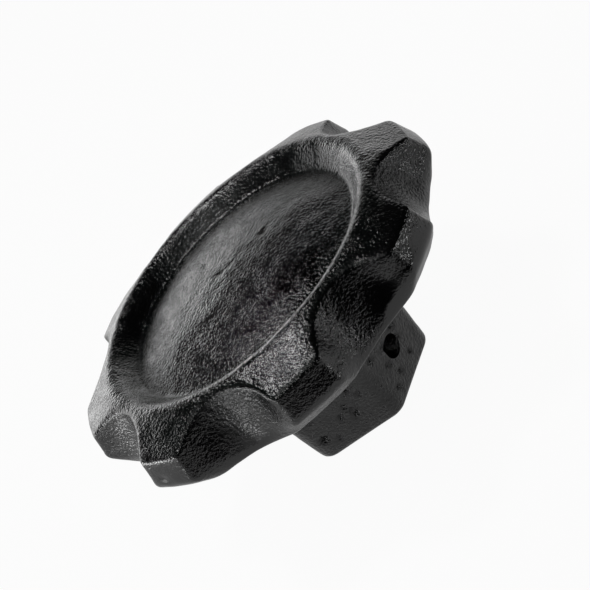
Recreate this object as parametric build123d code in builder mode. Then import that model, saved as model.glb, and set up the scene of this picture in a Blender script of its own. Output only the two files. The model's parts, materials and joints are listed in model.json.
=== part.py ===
from build123d import *
import math
import os

os.makedirs("parts", exist_ok=True)

# Star knob, one sand casting.  Origin at the centre of the hub's end face, +Z out through the face.
lobe_count = 8
tip_radius = 40.0
end_lean = 1.7

# heights above the hub's end face
tip_z = 28.2
top_corner_z = 33.3
crest_z = 36.8
dome_z = 36.6

# face: rounded rim crest, shallow groove inside it, low dome in the middle
crest_radius = 29.2
groove_inset = 4.1
groove_depth = 3.6
dome_edge_gap = 0.9
dome_edge_rise = 0.2
crest_round = 3.0
groove_round = 1.2
shoulder_round = 0.9
tip_round = 0.9

# underside: a short cone under the lobes, then a nearly flat web to the hub
skirt_inset = 3.2
skirt_z = 24.9
web_radius = 12.0
web_z = 21.0
skirt_round = 2.0

# finger scallops: leaning round cuts between the lobes
scallop_radius = 12.5
scallop_depth = 7.8
scallop_depth_z = 35.0
scallop_lean = 20.0
scallop_length = 60.0
scallop_round = 1.0

# hexagonal hub with casting draft
hub_sides = 6
hub_flats = 28.8
hub_draft = 5.4
hub_corner_round = 3.0
hub_end_round = 1.0
hub_root_round = 2.5
hub_overlap = 3.0

# drilled shaft bore, and the cross hole for its pin
bore_radius = 6.0
bore_depth = 22.0
drill_point_angle = 118.0
bore_chamfer = 0.8
cross_hole_radius = 2.25
cross_hole_z = 8.5

pitch = 360 / lobe_count
scallop_centre = tip_radius - scallop_depth + scallop_radius
groove_radius = crest_radius - groove_inset
groove_z = crest_z - groove_depth
dome_edge_radius = groove_radius - dome_edge_gap
dome_edge_z = groove_z + dome_edge_rise
dome_rise = dome_z - dome_edge_z
dome_radius = (dome_edge_radius**2 + dome_rise**2) / (2 * dome_rise)
dome_half_angle = math.asin(dome_edge_radius / dome_radius) / 2
dome_mid = (
    dome_radius * math.sin(dome_half_angle),
    dome_z - dome_radius * (1 - math.cos(dome_half_angle)),
)
hub_top_z = web_z + hub_overlap
hub_top_flats = hub_flats + 2 * hub_top_z * math.tan(math.radians(hub_draft))
drill_point_height = bore_radius / math.tan(math.radians(drill_point_angle / 2))

# corners of the disc's half section, as (radius, height)
skirt = (tip_radius - skirt_inset, skirt_z)
tip = (tip_radius, tip_z)
top_corner = (tip_radius - end_lean, top_corner_z)
crest = (crest_radius, crest_z)
groove = (groove_radius, groove_z)
dome_edge = (dome_edge_radius, dome_edge_z)
dome_top = (0, dome_z)

with BuildPart() as knob:
    with BuildSketch(Plane.YZ) as section:
        with BuildLine():
            Polyline(dome_top, (0, web_z), (web_radius, web_z), skirt, tip, top_corner, crest, groove, dome_edge)
            ThreePointArc(dome_edge, dome_mid, dome_top)
        make_face()
        rounds = (
            (skirt, skirt_round),
            (tip, tip_round),
            (top_corner, shoulder_round),
            (crest, crest_round),
            (groove, groove_round),
        )
        for corner, size in rounds:
            fillet(section.vertices().sort_by_distance(corner)[0], size)
    revolve(axis=Axis.Z)

    # scallops lean outward on the way down, so the casting draws from its mould
    with PolarLocations(0, lobe_count, start_angle=pitch / 2):
        with Locations(Location((scallop_centre, 0, scallop_depth_z), (0, -scallop_lean, 0))):
            Cylinder(scallop_radius, scallop_length, mode=Mode.SUBTRACT)
    scallops = knob.faces().filter_by(GeomType.CYLINDER)
    fillet(scallops.edges(), scallop_round)

    # hub: flats square to the cross hole
    with BuildSketch(Plane.XY):
        RegularPolygon(hub_flats / 2, hub_sides, major_radius=False, rotation=180 / hub_sides)
        fillet(vertices(), hub_corner_round)
    with BuildSketch(Plane.XY.offset(hub_top_z)):
        RegularPolygon(hub_top_flats / 2, hub_sides, major_radius=False, rotation=180 / hub_sides)
        fillet(vertices(), hub_corner_round)
    loft(ruled=True)
    fillet(knob.edges(Select.NEW), hub_root_round)
    fillet(knob.faces().sort_by(Axis.Z)[0].edges(), hub_end_round)

    # bore and cross hole
    Cylinder(bore_radius, bore_depth, align=(Align.CENTER, Align.CENTER, Align.MIN), mode=Mode.SUBTRACT)
    with Locations((0, 0, bore_depth)):
        Cone(
            bore_radius, 0, drill_point_height,
            align=(Align.CENTER, Align.CENTER, Align.MIN), mode=Mode.SUBTRACT,
        )
    with Locations((0, 0, cross_hole_z)):
        Cylinder(cross_hole_radius, 2 * hub_flats, rotation=(0, 90, 0), mode=Mode.SUBTRACT)
    bore_mouth = knob.faces().sort_by(Axis.Z)[0].inner_wires()[0]
    chamfer(bore_mouth.edges(), bore_chamfer)

knob.part.label = "star_knob"
export_step(knob.part, "parts/star_knob.step")
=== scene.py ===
# %% [markdown]
# # Cast-iron star knob
#
# This lesson dresses one part: a star knob, a small handwheel sand-cast in iron and
# painted black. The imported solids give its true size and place. The paint, the sand
# grain and the unevenness of a real casting are made here.
#
# The knob stands on its hub: the hub's end is at z = 0 and the domed face looks up.
# All lengths below are millimetres until the mesh is written, because that is how the
# pattern maker's drawing would give them.

# %% Start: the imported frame
import json
import math

import bpy
import numpy as np
from mathutils import Euler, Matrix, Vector

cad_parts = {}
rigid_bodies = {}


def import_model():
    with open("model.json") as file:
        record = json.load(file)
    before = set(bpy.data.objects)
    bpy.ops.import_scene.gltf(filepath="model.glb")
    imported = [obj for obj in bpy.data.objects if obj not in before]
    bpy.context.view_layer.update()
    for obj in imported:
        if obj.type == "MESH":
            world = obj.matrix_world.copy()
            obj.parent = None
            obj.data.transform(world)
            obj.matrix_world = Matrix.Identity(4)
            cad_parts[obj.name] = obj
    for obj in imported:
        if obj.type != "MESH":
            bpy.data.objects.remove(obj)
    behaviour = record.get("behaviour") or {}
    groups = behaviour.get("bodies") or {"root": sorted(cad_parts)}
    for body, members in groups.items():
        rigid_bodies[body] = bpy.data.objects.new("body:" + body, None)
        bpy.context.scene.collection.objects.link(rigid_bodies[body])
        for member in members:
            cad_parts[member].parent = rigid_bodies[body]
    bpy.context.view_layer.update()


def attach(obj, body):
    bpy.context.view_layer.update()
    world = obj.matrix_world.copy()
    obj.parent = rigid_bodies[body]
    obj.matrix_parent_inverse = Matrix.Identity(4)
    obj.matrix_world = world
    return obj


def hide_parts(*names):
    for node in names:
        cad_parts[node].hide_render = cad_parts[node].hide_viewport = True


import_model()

MM = 0.001

# %% [markdown]
# ## The half section
#
# A turned body is a half section carried once round the axis. The section is a list of
# corners, each with its own rounding, from the middle of the dome, over the rim and
# down the underside to the hub. Rounded corners matter on a casting: sand can't hold a
# sharp edge, and paint rounds it further.

# %% Section corners, as (radius, height, rounding, steps to the next corner)
TIP_RADIUS = 39.9
RIM = np.array([
    (24.2, 33.4, 0.0, 1),      # dome edge
    (25.1, 33.2, 1.3, 8),      # bottom of the groove
    (29.2, 36.8, 3.0, 16),     # crest of the rim
    (38.2, 33.3, 1.4, 12),     # top corner of a lobe
    (TIP_RADIUS, 28.2, 1.8, 9),  # tip of a lobe
    (36.8, 24.9, 2.4, 7),      # foot of the short cone
    (22.0, 22.6, 0.0, 1),      # web, near the hub
])
DOME_TOP = 36.6
DOME_ROWS = 29
WEB_ROWS = 8
print("rim corners:", len(RIM))


# %% Rounding a polyline
def rounded(corners, arc_steps=7):
    """Each inner corner is replaced by the arc that touches both of its sides: the arc
    starts and ends at rounding x tan(half the turn) from the corner, and its points are
    the corner's side points blended by a quadratic whose middle is the corner."""
    points = [corners[0, :2]]
    for before, here, after in zip(corners[:-2], corners[1:-1], corners[2:]):
        into = (here[:2] - before[:2]) / np.linalg.norm(here[:2] - before[:2])
        away = (after[:2] - here[:2]) / np.linalg.norm(after[:2] - here[:2])
        half_turn = np.arccos(np.clip(into @ away, -1, 1)) / 2
        reach = here[2] * np.tan(half_turn)
        t = np.linspace(0, 1, arc_steps)[:, None]
        start, end = here[:2] - reach * into, here[:2] + reach * away
        arc = (1 - t) ** 2 * start + 2 * t * (1 - t) * here[:2] + t**2 * end
        straight = np.linspace(points[-1], start, int(before[3]) + 1)[1:-1]
        points = points + list(straight) + list(arc)
    straight = np.linspace(points[-1], corners[-1, :2], WEB_ROWS + 1)[1:]
    return np.array(points + list(straight))


dome_r = np.linspace(0, RIM[0, 0], DOME_ROWS + 1)[1:]
dome_rise = DOME_TOP - RIM[0, 1]
dome_ball = (RIM[0, 0] ** 2 + dome_rise**2) / (2 * dome_rise)
dome_z = DOME_TOP - dome_ball + np.sqrt(dome_ball**2 - dome_r**2)
dome = np.column_stack([dome_r, dome_z])
upper = np.vstack([dome, rounded(RIM)[1:]])
print("rows from dome to web:", len(upper))

# %% [markdown]
# ## The hub
#
# Below the web the section isn't round: it is a hexagon that widens upwards, because the
# pattern has to draw out of the sand. Its rows are stored as an offset from the hexagon's
# own radius, so one table serves every angle.

# %% Hub rows: offset from the hexagon, height
HUB_FLATS, HUB_DRAFT, HUB_CORNER = 28.8, math.radians(5.4), 3.2
HUB_ROOT_Z, HUB_ROOT_REACH, HUB_ROOT_RISE = 20.0, 2.6, 2.0
HUB_END_ROUND = 1.2
HUB_SIDE_ROWS, HUB_SIDE_TOP, HUB_SIDE_FOOT = 34, 19.4, 1.6
quarter = np.linspace(0, math.pi / 2, 6)
root = np.column_stack([
    HUB_ROOT_REACH * (1 - np.sin(quarter)),
    HUB_ROOT_Z + HUB_ROOT_RISE * np.cos(quarter)])
side = np.column_stack([
    np.zeros(HUB_SIDE_ROWS), np.linspace(HUB_SIDE_TOP, HUB_SIDE_FOOT, HUB_SIDE_ROWS)])
end = np.column_stack([
    -HUB_END_ROUND * (1 - np.cos(quarter)), HUB_END_ROUND * (1 - np.sin(quarter))])
hub_rows = np.vstack([root, side, end])


def hexagon(angle, z):
    """Distance from the axis to the hub's side. A flat is apothem / cos(angle from the
    flat's middle); within a corner it is the far side of the corner's own circle."""
    apothem = HUB_FLATS / 2 + z * math.tan(HUB_DRAFT)
    off = np.abs((angle + math.pi / 6) % (math.pi / 3) - math.pi / 6)
    ball = (apothem - HUB_CORNER) / math.cos(math.pi / 6)
    from_corner = math.pi / 6 - off
    corner = ball * np.cos(from_corner) + np.sqrt(
        np.maximum(HUB_CORNER**2 - (ball * np.sin(from_corner)) ** 2, 0))
    flat = apothem / np.cos(off)
    on_flat = apothem * np.tan(off) < (apothem - HUB_CORNER) * math.tan(math.pi / 6)
    return np.where(on_flat, flat, corner)


print("hub rows:", len(hub_rows))

# %% [markdown]
# ## The finger scallops
#
# Between two lobes a round cut leans outward on its way down. Where it is nearer to the
# axis than the turned body, the body gives way to it. Taking the softened smaller of the
# two radii, not the plain one, rounds every edge of the scallop at once.
#
# A sand casting is never quite regular. Each scallop has its own small change in depth
# and each lobe its own in length, as the pattern and the fettling leave them.

# %% Scallop limit
SCALLOP_RADIUS, SCALLOP_CENTRE, SCALLOP_Z = 12.5, 44.7, 35.0
SCALLOP_LEAN = math.radians(20)
NO_LIMIT = 200.0
PITCH = math.pi / 4  # eight lobes
scallop_shift = np.array([0.25, -0.1, 0.1, -0.15, 0.1, 0.0, -0.1, 0.0])
lobe_shorter = np.array([0.55, 0.1, 0.0, 0.0, 0.0, 0.0, 0.0, 0.0])


def scallop_limit(angle, z):
    """Level slices of a leaning cylinder are ellipses. The limit is the nearer root of
    ((r cos a - c) / A)^2 + (r sin a / B)^2 = 1, and far outside where there is none."""
    index = np.floor(angle / PITCH).astype(int) % 8
    a = (angle % PITCH) - PITCH / 2
    lean = (SCALLOP_Z - z) * math.tan(SCALLOP_LEAN)
    centre = SCALLOP_CENTRE + lean + scallop_shift[index]
    long_r, wide_r = SCALLOP_RADIUS / math.cos(SCALLOP_LEAN), SCALLOP_RADIUS
    qa = (np.cos(a) / long_r) ** 2 + (np.sin(a) / wide_r) ** 2
    qb = centre * np.cos(a) / long_r**2
    qc = (centre / long_r) ** 2 - 1
    inside = qb**2 - qa * qc
    return np.where(inside > 0, (qb - np.sqrt(np.maximum(inside, 0))) / qa, NO_LIMIT)


def soft_min(a, b, width):
    """The smaller of a and b, with a parabola of the given width across the change."""
    h = np.clip(0.5 + 0.5 * (b - a) / width, 0, 1)
    return b * (1 - h) + a * h - width * h * (1 - h)


print("the scallops reach in to radius", round(SCALLOP_CENTRE - SCALLOP_RADIUS, 1), "mm")


# %% [markdown]
# ## Unevenness
#
# Smooth random waves move the surface by a few hundredths to two tenths of a millimetre.
# A sand casting's edges wander by about that much, and gloss paint shows it. A displacing
# modifier could do the same, but waves worked out in numpy stay in the mesh as a shape.

# %% Smooth waves in space
def waves(p, size, seed):
    """Random values on a cubic lattice with the given spacing, blended between its eight
    nearest points by 3t^2 - 2t^3 along each axis; the result lies between -1 and 1."""
    lattice = np.random.default_rng(seed).uniform(-1, 1, (48, 48, 48))
    q = p / size + 20.0
    cell = np.floor(q).astype(int)
    t = q - cell
    t = t * t * (3 - 2 * t)
    total = np.zeros(len(p))
    for corner in np.ndindex(2, 2, 2):
        at = (cell + corner) % 48
        weight = np.prod(np.where(corner, t, 1 - t), axis=1)
        total += weight * lattice[at[:, 0], at[:, 1], at[:, 2]]
    return total


# %% [markdown]
# ## The whole casting as one grid
#
# The columns are angles, set closer together at the lobes' corners, where the surface
# turns fastest. The rows run from the dome to the bore: those above the hub use the
# section and the scallops, those below use the hexagon, and the last are the round bore.

# %% Columns
COLUMNS = 72
CORNER_AT, CORNER_WIDTH, CORNER_CROWD = 0.31, 0.075, 3.0  # in shares of one pitch
even = np.linspace(0, 1, 2001)
from_corner = (np.abs(even - 0.5) - CORNER_AT) / CORNER_WIDTH
crowd = 1 + CORNER_CROWD * np.exp(-(from_corner**2))
total = np.concatenate([[0], np.cumsum((crowd[1:] + crowd[:-1]) / 2)])
one_pitch = np.interp(np.arange(COLUMNS) / COLUMNS, total / total[-1], even)
angles = np.concatenate([(one_pitch + k) * math.pi / 4 for k in range(8)])
print("columns:", len(angles))

# %% Rows: radius and height for every angle
A = angles[None, :]
body_r = np.repeat(upper[:, :1], len(angles), axis=1)
body_z = np.repeat(upper[:, 1:], len(angles), axis=1)
lobe = (np.round(A / PITCH).astype(int)) % 8
CREST_END, TIP_GAIN = 31, 1.5
past_crest = np.clip((body_r - CREST_END) / (TIP_RADIUS - CREST_END), 0, 1)
body_r = body_r - lobe_shorter[lobe] * past_crest * TIP_GAIN
limit = scallop_limit(np.broadcast_to(A, body_r.shape), body_z)
GROOVE_ROW = 38
TOP_EDGE_ROUND, LOW_EDGE_MORE = 1.4, 2.2
SHOULDER_Z, SHOULDER_FADE = 34.0, 4.0
outside = (np.arange(len(upper)) > GROOVE_ROW)[:, None]
lower = np.clip((SHOULDER_Z - body_z) / SHOULDER_FADE, 0, 1)
edge_round = TOP_EDGE_ROUND + LOW_EDGE_MORE * lower
body_r = np.where(outside, soft_min(body_r, limit, edge_round), body_r)
BLEND_Z, BLEND_FADE, BLEND_TIMES = 34.5, 3.0, 10
lobe_side = np.clip((BLEND_Z - body_z) / BLEND_FADE, 0, 1) * outside
for _ in range(BLEND_TIMES):
    blended = (np.roll(body_r, 1, axis=1) + 2 * body_r + np.roll(body_r, -1, axis=1)) / 4
    body_r = body_r + lobe_side * (blended - body_r)
print("rows of the body:", len(body_r))

# %% The hub's rows, its end and the bore
hub_z = np.repeat(hub_rows[:, 1:], len(angles), axis=1)
hub_r = hexagon(A, hub_z) + hub_rows[:, :1]
END_EDGE, END_MIDDLE, END_BORE = 2.6, 10.5, 7.0
end_r = np.vstack([
    hexagon(A, 0.0) - END_EDGE, np.full_like(A, END_MIDDLE), np.full_like(A, END_BORE)])
end_z = np.zeros_like(end_r)
BORE = np.array([
    (6.8, 0.0), (6.4, 0.35), (6.0, 0.8), (6.0, 8.0), (6.0, 15.0), (6.0, 22.0), (3.0, 23.8)])
DRILL_POINT_Z = 25.6
bore_r = np.repeat(BORE[:, :1], len(angles), axis=1)
bore_z = np.repeat(BORE[:, 1:], len(angles), axis=1)
grid_r = np.vstack([body_r, hub_r, end_r, bore_r])
grid_z = np.vstack([body_z, hub_z, end_z, bore_z])
print("grid:", grid_r.shape, "triangles about", 2 * grid_r.size)

# %% Points, with the unevenness along the outward direction
points = np.stack([grid_r * np.cos(A), grid_r * np.sin(A), grid_z], axis=-1)
du = np.roll(points, -1, axis=1) - np.roll(points, 1, axis=1)
dv = np.gradient(points, axis=0)
inward = np.cross(du, dv)
inward /= np.linalg.norm(inward, axis=2, keepdims=True) + 1e-9
flat = points.reshape(-1, 3)
# Wide, middle and narrow waves: height x waves of a length, each with its own seed.
amount = 0.16 * waves(flat, 9.0, 1) + 0.07 * waves(flat, 3.2, 2) + 0.03 * waves(flat, 1.4, 3)
outer_rows = np.zeros(grid_r.shape)
outer_rows[: len(upper) + len(hub_rows)] = 1.0
END_FADE = 3.0
keep_end = np.clip(grid_z / END_FADE, 0, 1)  # the hub's end stays flat
flat = flat - inward.reshape(-1, 3) * (amount * (outer_rows * keep_end).ravel())[:, None]
print("unevenness: up to", round(float(np.abs(amount).max()), 2), "mm")

# %% [markdown]
# ## Pits
#
# Grains of loose sand in the mould leave pits in the iron. Each is a dent that fades as
# e to the power of minus the distance squared, longer round the knob than up it. A few
# are set one by one on the dome and the lobes. The hub's are scattered with a fixed seed.

# %% Pits: (angle, radius, height), half length, half width, depth
def lobe_point(angle, radius, z):
    """The place at a radius and a height, at an angle in degrees from the +X lobe."""
    a = math.radians(angle)
    return np.array([radius * math.cos(a), radius * math.sin(a), z])


pit_random = np.random.default_rng(11)
PITS = [
    ((53, 8.5, 36.2), 0.9, 0.7, 0.3), ((-143, 1.8, 36.5), 0.9, 0.8, 0.3),
    ((163, 8.6, 36.2), 0.8, 0.8, 0.3), ((-92, 39.6, 30.0), 0.7, 0.6, 0.3),
]
PITS_PER_FACE, PITS_ON_LOBE = 14, 10
for face in (-60, 0, 60, 120, 180, 240):
    for _ in range(PITS_PER_FACE):
        angle, z = face + pit_random.uniform(-24, 24), pit_random.uniform(3, 18)
        on_face = float(hexagon(math.radians(angle), z))
        PITS.append(((angle, on_face, z), pit_random.uniform(0.45, 1.1), 0.45, 0.6))
for _ in range(PITS_ON_LOBE):
    spot = (-135 + pit_random.uniform(-6, 6), 39.0, pit_random.uniform(27, 31))
    PITS.append((spot, 0.6, 0.5, 0.3))
for (angle, radius, z), along, across, depth in PITS:
    a = math.radians(angle)
    side_way = np.array([-math.sin(a), math.cos(a), 0.0])
    gap = flat - lobe_point(angle, radius, z)
    sideways = gap @ side_way
    rest = np.sqrt(np.maximum((gap**2).sum(axis=1) - sideways**2, 0))
    dent = depth * np.exp(-((sideways / along) ** 2) - (rest / across) ** 2)
    flat = flat + (inward.reshape(-1, 3) * dent[:, None])
print("pits:", len(PITS))


# %% Mesh from the grid
def grid_mesh(name, verts, rows, columns, first_pole, last_pole):
    """A grid that closes round its columns, with a fan of triangles to a pole at each end:
    vertex (i, j) is number i * columns + j, and the poles come last."""
    i, j = np.meshgrid(np.arange(rows - 1), np.arange(columns), indexing="ij")
    k = (j + 1) % columns
    here, below = i * columns, (i + 1) * columns
    quads = np.stack([here + j, below + j, below + k, here + k], -1).reshape(-1, 4)
    j = np.arange(columns)
    k = (j + 1) % columns
    top, bottom = rows * columns, rows * columns + 1
    base = (rows - 1) * columns
    fans = np.vstack([
        np.column_stack([np.full(columns, top), j, k]),
        np.column_stack([np.full(columns, bottom), base + k, base + j]),
    ])
    mesh = bpy.data.meshes.new(name)
    everything = np.vstack([verts, first_pole, last_pole]) * MM
    mesh.from_pydata(everything.tolist(), [], quads.tolist() + fans.tolist())
    mesh.validate()
    return mesh


knob_mesh = grid_mesh("star_knob_casting", flat, *grid_r.shape,
                      first_pole=(0, 0, DOME_TOP), last_pole=(0, 0, DRILL_POINT_Z))
knob = bpy.data.objects.new("star_knob_casting", knob_mesh)
bpy.context.scene.collection.objects.link(knob)
print("vertices:", len(knob_mesh.vertices), "faces:", len(knob_mesh.polygons))

# %% [markdown]
# ## The cross hole
#
# The pin hole is drilled through the finished casting, so it is cut here in the same way:
# a round cutter is taken away from the grid, and the cutter is then thrown away.

# %% Drill the cross hole
CROSS_RADIUS, CROSS_Z, DRILL_REACH = 2.25, 8.5, 24
SHARP_PAST = math.radians(48)


def cylinder_mesh(name, radius, reach, z, sides=48):
    """A closed cylinder along X: two rings of (x, radius cos a, z + radius sin a)."""
    a = np.linspace(0, 2 * math.pi, sides, endpoint=False)
    ring = np.column_stack([np.zeros(sides), radius * np.cos(a), z + radius * np.sin(a)])
    verts = np.vstack([ring + (-reach, 0, 0), ring + (reach, 0, 0)]) * MM
    j = np.arange(sides)
    k = (j + 1) % sides
    walls = np.column_stack([j, k, sides + k, sides + j])
    mesh = bpy.data.meshes.new(name)
    ends = [j[::-1].tolist(), (sides + j).tolist()]
    mesh.from_pydata(verts.tolist(), [], walls.tolist() + ends)
    return mesh


cutter = bpy.data.objects.new(
    "pin_drill", cylinder_mesh("pin_drill", CROSS_RADIUS, DRILL_REACH, CROSS_Z))
bpy.context.scene.collection.objects.link(cutter)
drill = knob.modifiers.new("cross hole", "BOOLEAN")
drill.operation, drill.object, drill.solver = "DIFFERENCE", cutter, "EXACT"
finished = knob.evaluated_get(bpy.context.evaluated_depsgraph_get())
drilled = bpy.data.meshes.new_from_object(finished)
knob.modifiers.clear()
knob.data = drilled
knob.data.name = "star_knob_casting"
bpy.data.objects.remove(cutter)
drilled.shade_smooth()
drilled.set_sharp_from_angle(angle=SHARP_PAST)
print("after drilling:", len(drilled.vertices), "vertices")

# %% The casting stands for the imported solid
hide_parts("star_knob")
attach(knob, "root")
print("star_knob_casting replaces star_knob")

# %% [markdown]
# ## Where paint pooled
#
# Thick gloss paint fills the grain on the low sides of the lobes, where it ran and
# pooled, and those places are smooth. The mask is stored as a value on each vertex, so
# it stays with the casting whatever the light and the view.

# %% The mask: places and their reach
def near(p, centre, reach):
    """1.6 - 1.6 x distance / reach, held between 0 and 1: whole near the centre, none past
    the reach."""
    gap = np.linalg.norm((p - centre), axis=1) / reach
    return np.clip(1.6 - 1.6 * gap, 0, 1)


POOLED = [
    (lobe_point(-2, 38.5, 27.0), 7.5), (lobe_point(-14, 35.5, 27.5), 6.0),
    (lobe_point(-68, 36.5, 25.5), 7.0), (lobe_point(-90, 39.5, 28.5), 6.5),
    (lobe_point(-135, 39.8, 29.0), 7.0),
]
HUB_COARSER = -1.3  # below zero the grain grows: the hub got less paint
p = np.empty(len(drilled.vertices) * 3)
drilled.vertices.foreach_get("co", p)
p = p.reshape(-1, 3) / MM
pooled = np.zeros(len(p))
ragged = p + 1.2 * waves(p, 2.5, 7)[:, None]  # pools have a ragged edge
for centre, reach in POOLED:
    pooled = np.maximum(pooled, near(ragged, centre, reach))
on_hub = (p[:, 2] < 20.5) & (np.hypot(p[:, 0], p[:, 1]) < 19)
pooled = np.where(on_hub, HUB_COARSER, pooled)
mask = drilled.attributes.new("pooled", "FLOAT", "POINT")
mask.data.foreach_set("value", pooled)
print("share of the casting with pooled paint:", round(float((pooled > 0.5).mean()), 3))

# %% [markdown]
# ## Sand grain under paint
#
# The mould's sand prints small rounded grains into the iron, and the paint covers them
# without hiding them. A fine noise gives the grains, a wider one makes the surface
# rougher in some places than others, and the pooled mask flattens both. The grains are
# finer than the mesh, so they are a bump; the group gives their height alone.

# %% The grain group
grain_group = bpy.data.node_groups.new("sand grain under paint", "ShaderNodeTree")
for socket, kind, value in (
    ("Place", "NodeSocketVector", None), ("Grains per metre", "NodeSocketFloat", 1250.0),
    ("Pooled", "NodeSocketFloat", 0.0),
):
    made = grain_group.interface.new_socket(name=socket, in_out="INPUT", socket_type=kind)
    if value is not None:
        made.default_value = value
grain_group.interface.new_socket(name="Height", in_out="OUTPUT", socket_type="NodeSocketFloat")
gn, gl = grain_group.nodes, grain_group.links
g_in, g_out = gn.new("NodeGroupInput"), gn.new("NodeGroupOutput")


def group_math(tree, operation, first, second):
    """A Math node that joins two sockets or numbers; gives back its output."""
    node = tree.nodes.new("ShaderNodeMath")
    node.operation = operation
    for slot, value in zip(node.inputs, (first, second)):
        if isinstance(value, (int, float)):
            slot.default_value = value
        else:
            tree.links.new(value, slot)
    return node.outputs[0]


fine = gn.new("ShaderNodeTexNoise")
fine.inputs["Detail"].default_value = 2.5
fine.inputs["Roughness"].default_value = 0.55
gl.new(g_in.outputs["Place"], fine.inputs["Vector"])
gl.new(g_in.outputs["Grains per metre"], fine.inputs["Scale"])
wide = gn.new("ShaderNodeTexNoise")
wide.inputs["Detail"].default_value = 1.0
gl.new(g_in.outputs["Place"], wide.inputs["Vector"])
wide_scale = group_math(grain_group, "MULTIPLY", g_in.outputs["Grains per metre"], 0.16)
gl.new(wide_scale, wide.inputs["Scale"])
unevenly = group_math(grain_group, "MULTIPLY_ADD", wide.outputs["Fac"], 1.2)
unevenly.node.inputs[2].default_value = 0.4
filled = group_math(grain_group, "MULTIPLY", g_in.outputs["Pooled"], 0.85)
bare = group_math(grain_group, "SUBTRACT", 1.0, filled)
grains = group_math(grain_group, "MULTIPLY", fine.outputs["Fac"], unevenly)
gl.new(group_math(grain_group, "MULTIPLY", grains, bare), g_out.inputs["Height"])
print("group sockets:", [item.name for item in grain_group.interface.items_tree])

# %% [markdown]
# ## Black gloss paint
#
# Gloss paint is nearly black in itself: what is seen is its coat reflecting the studio.
# So the base is almost black, the roughness is low, and the grain's height goes to a
# Bump node, whose distance is the height of a grain in metres.

# %% Paint
paint = bpy.data.materials.new("black gloss paint on sand-cast iron")
paint.use_nodes = True
nodes, links = paint.node_tree.nodes, paint.node_tree.links
gloss = nodes["Principled BSDF"]
gloss.inputs["Base Color"].default_value = (0.003, 0.003, 0.0033, 1)
gloss.inputs["Roughness"].default_value = 0.1
gloss.inputs["IOR"].default_value = 1.6
place = nodes.new("ShaderNodeTexCoord")
pooled_mask = nodes.new("ShaderNodeAttribute")
pooled_mask.attribute_name = "pooled"
grain = nodes.new("ShaderNodeGroup")
grain.node_tree = grain_group
grain.inputs["Grains per metre"].default_value = 1900.0
bump = nodes.new("ShaderNodeBump")
bump.inputs["Strength"].default_value = 1.0
bump.inputs["Distance"].default_value = 0.00018
links.new(place.outputs["Object"], grain.inputs["Place"])
links.new(pooled_mask.outputs["Fac"], grain.inputs["Pooled"])
links.new(grain.outputs["Height"], bump.inputs["Height"])
links.new(bump.outputs["Normal"], gloss.inputs["Normal"])
knob.data.materials.clear()
knob.data.materials.append(paint)
print("paint:", paint.name, "on", knob.name)

# %% [markdown]
# ## Floor
#
# The floor is a plain pale disc. The camera sees it as white, with a share of its real
# shade left in so that the knob's shadow stays. Gloss paint sees it as pale grey.

# %% Floor
FLOOR_RADIUS = 0.6  # metres
GLOSS_SHARE, CAMERA_SHARE = 0.36, 0.95  # how white it looks to paint and to the camera
floor_mesh = bpy.data.meshes.new("floor")
turn = np.linspace(0, 2 * math.pi, 96, endpoint=False)
disc = FLOOR_RADIUS * np.column_stack([np.cos(turn), np.sin(turn), 0 * turn])
floor_mesh.from_pydata(disc.tolist(), [], [list(range(len(turn)))])
floor = bpy.data.objects.new("floor", floor_mesh)
bpy.context.scene.collection.objects.link(floor)
floor_paint = bpy.data.materials.new("pale floor")
floor_paint.use_nodes = True
fn, fl = floor_paint.node_tree.nodes, floor_paint.node_tree.links
fn.clear()
floor_out = fn.new("ShaderNodeOutputMaterial")
matt = fn.new("ShaderNodeBsdfDiffuse")
matt.inputs["Color"].default_value = (0.9, 0.9, 0.9, 1)
white = fn.new("ShaderNodeEmission")
seen_white = fn.new("ShaderNodeMixShader")
rays = fn.new("ShaderNodeLightPath")
floor_tree = floor_paint.node_tree
in_gloss = group_math(floor_tree, "MULTIPLY", rays.outputs["Is Glossy Ray"], GLOSS_SHARE)
in_camera = group_math(floor_tree, "MULTIPLY", rays.outputs["Is Camera Ray"], CAMERA_SHARE)
fl.new(group_math(floor_tree, "ADD", in_gloss, in_camera), seen_white.inputs["Fac"])
fl.new(matt.outputs[0], seen_white.inputs[1])
fl.new(white.outputs[0], seen_white.inputs[2])
fl.new(seen_white.outputs[0], floor_out.inputs["Surface"])
floor.data.materials.append(floor_paint)
print("floor radius:", FLOOR_RADIUS, "m")

# %% [markdown]
# ## The studio
#
# Black gloss paint shows its surroundings, so the studio is mostly dark with a low band
# of soft light on one side and a soft light overhead. Each is a round patch on the
# world: e to the power of sharpness x (cosine of the angle from its middle - 1).

# %% Studio patches: azimuth, elevation, strength
PATCHES = [
    (120, 5, 1.5), (155, 4, 3.2), (180, 6, 2.0), (210, 6, 2.6), (240, 6, 1.6),
    (272, 6, 0.4), (270, 80, 1.2),
]
SHARPNESS = 32.0
DARK = 0.005  # the studio away from the patches


def direction(azimuth, elevation):
    """The unit vector (cos e cos a, cos e sin a, sin e), from angles in degrees."""
    a, e = math.radians(azimuth), math.radians(elevation)
    return Vector((math.cos(e) * math.cos(a), math.cos(e) * math.sin(a), math.sin(e)))


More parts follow.
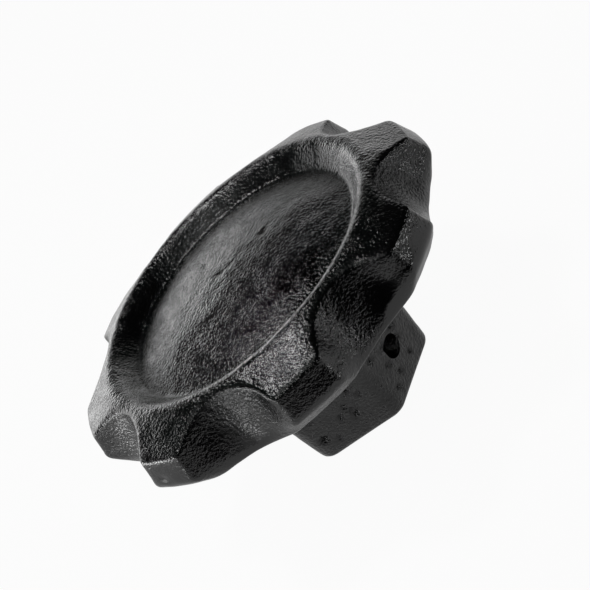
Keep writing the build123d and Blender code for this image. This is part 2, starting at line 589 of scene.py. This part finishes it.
world = bpy.data.worlds.new("studio")
bpy.context.scene.world = world
world.use_nodes = True
studio = world.node_tree
wn, wl = studio.nodes, studio.links
wn.clear()
world_out = wn.new("ShaderNodeOutputWorld")
way = wn.new("ShaderNodeTexCoord")
level = DARK
for azimuth, elevation, strength in PATCHES:
    angle = wn.new("ShaderNodeVectorMath")
    angle.operation = "DOT_PRODUCT"
    angle.inputs[1].default_value = direction(azimuth, elevation)
    wl.new(way.outputs["Generated"], angle.inputs[0])
    off = group_math(studio, "SUBTRACT", angle.outputs["Value"], 1.0)
    power = group_math(studio, "MULTIPLY", off, SHARPNESS)
    spot = group_math(studio, "EXPONENT", power, 0.0)
    patch = group_math(studio, "MULTIPLY", spot, strength)
    level = group_math(studio, "ADD", patch, level)
backdrop, light = wn.new("ShaderNodeBackground"), wn.new("ShaderNodeBackground")
light.inputs["Color"].default_value = (1, 1, 1, 1)
backdrop.inputs["Color"].default_value = (1, 1, 1, 1)
wl.new(level, light.inputs["Strength"])
seen_by = wn.new("ShaderNodeMixShader")
wl.new(wn.new("ShaderNodeLightPath").outputs["Is Camera Ray"], seen_by.inputs["Fac"])
wl.new(light.outputs[0], seen_by.inputs[1])
wl.new(backdrop.outputs[0], seen_by.inputs[2])
wl.new(seen_by.outputs[0], world_out.inputs["Surface"])
print("studio patches:", len(PATCHES))

# %% [markdown]
# ## Lamps
#
# Small bright lamps give the grain its sparkle. One hangs overhead, two stand low on
# the left, one is in front and a small one is on the right.

# %% Lamps
def softbox(name, azimuth, elevation, distance, width, height, radiance):
    """An area lamp at the given direction from the knob, turned to face it. Its power is
    radiance x pi x area, so the radiance is what a mirror would show."""
    towards = direction(azimuth, elevation)
    lamp = bpy.data.lights.new(name, "AREA")
    lamp.shape, lamp.size, lamp.size_y = "RECTANGLE", width, height
    lamp.energy = radiance * math.pi * width * height
    lamp_object = bpy.data.objects.new(name, lamp)
    lamp_object.location = Vector((0, 0, 0.03)) + distance * towards
    lamp_object.rotation_euler = towards.to_track_quat("Z", "Y").to_euler()
    bpy.context.scene.collection.objects.link(lamp_object)


softbox("overhead softbox", 162, 70, 0.7, 0.11, 0.11, 28)
softbox("low side softbox", 214, 8, 0.7, 0.16, 0.07, 16)
softbox("low front softbox", 252, 6, 0.7, 0.12, 0.05, 12)
softbox("front softbox", 288, 48, 0.7, 0.06, 0.06, 22)
softbox("right softbox", 27, 6, 0.6, 0.06, 0.05, 20)

# %% [markdown]
# ## Camera
#
# A long lens close to the knob looks down on it from the front right. The camera is
# rolled, so the knob seems to lie on its side.

# %% Camera
camera_data = bpy.data.cameras.new("camera")
camera_data.lens = 81.28
camera_data.sensor_width = 36.0
camera_data.clip_start = 0.01
camera = bpy.data.objects.new("camera", camera_data)
camera.location = (0.17007, -0.12484, 0.13494)
camera.rotation_euler = Euler([math.radians(v) for v in (52.057, 40.388, 25.754)], "XYZ")
bpy.context.scene.collection.objects.link(camera)
bpy.context.scene.camera = camera
bpy.context.scene.view_settings.view_transform = "Standard"
print("camera lens:", camera_data.lens, "mm")
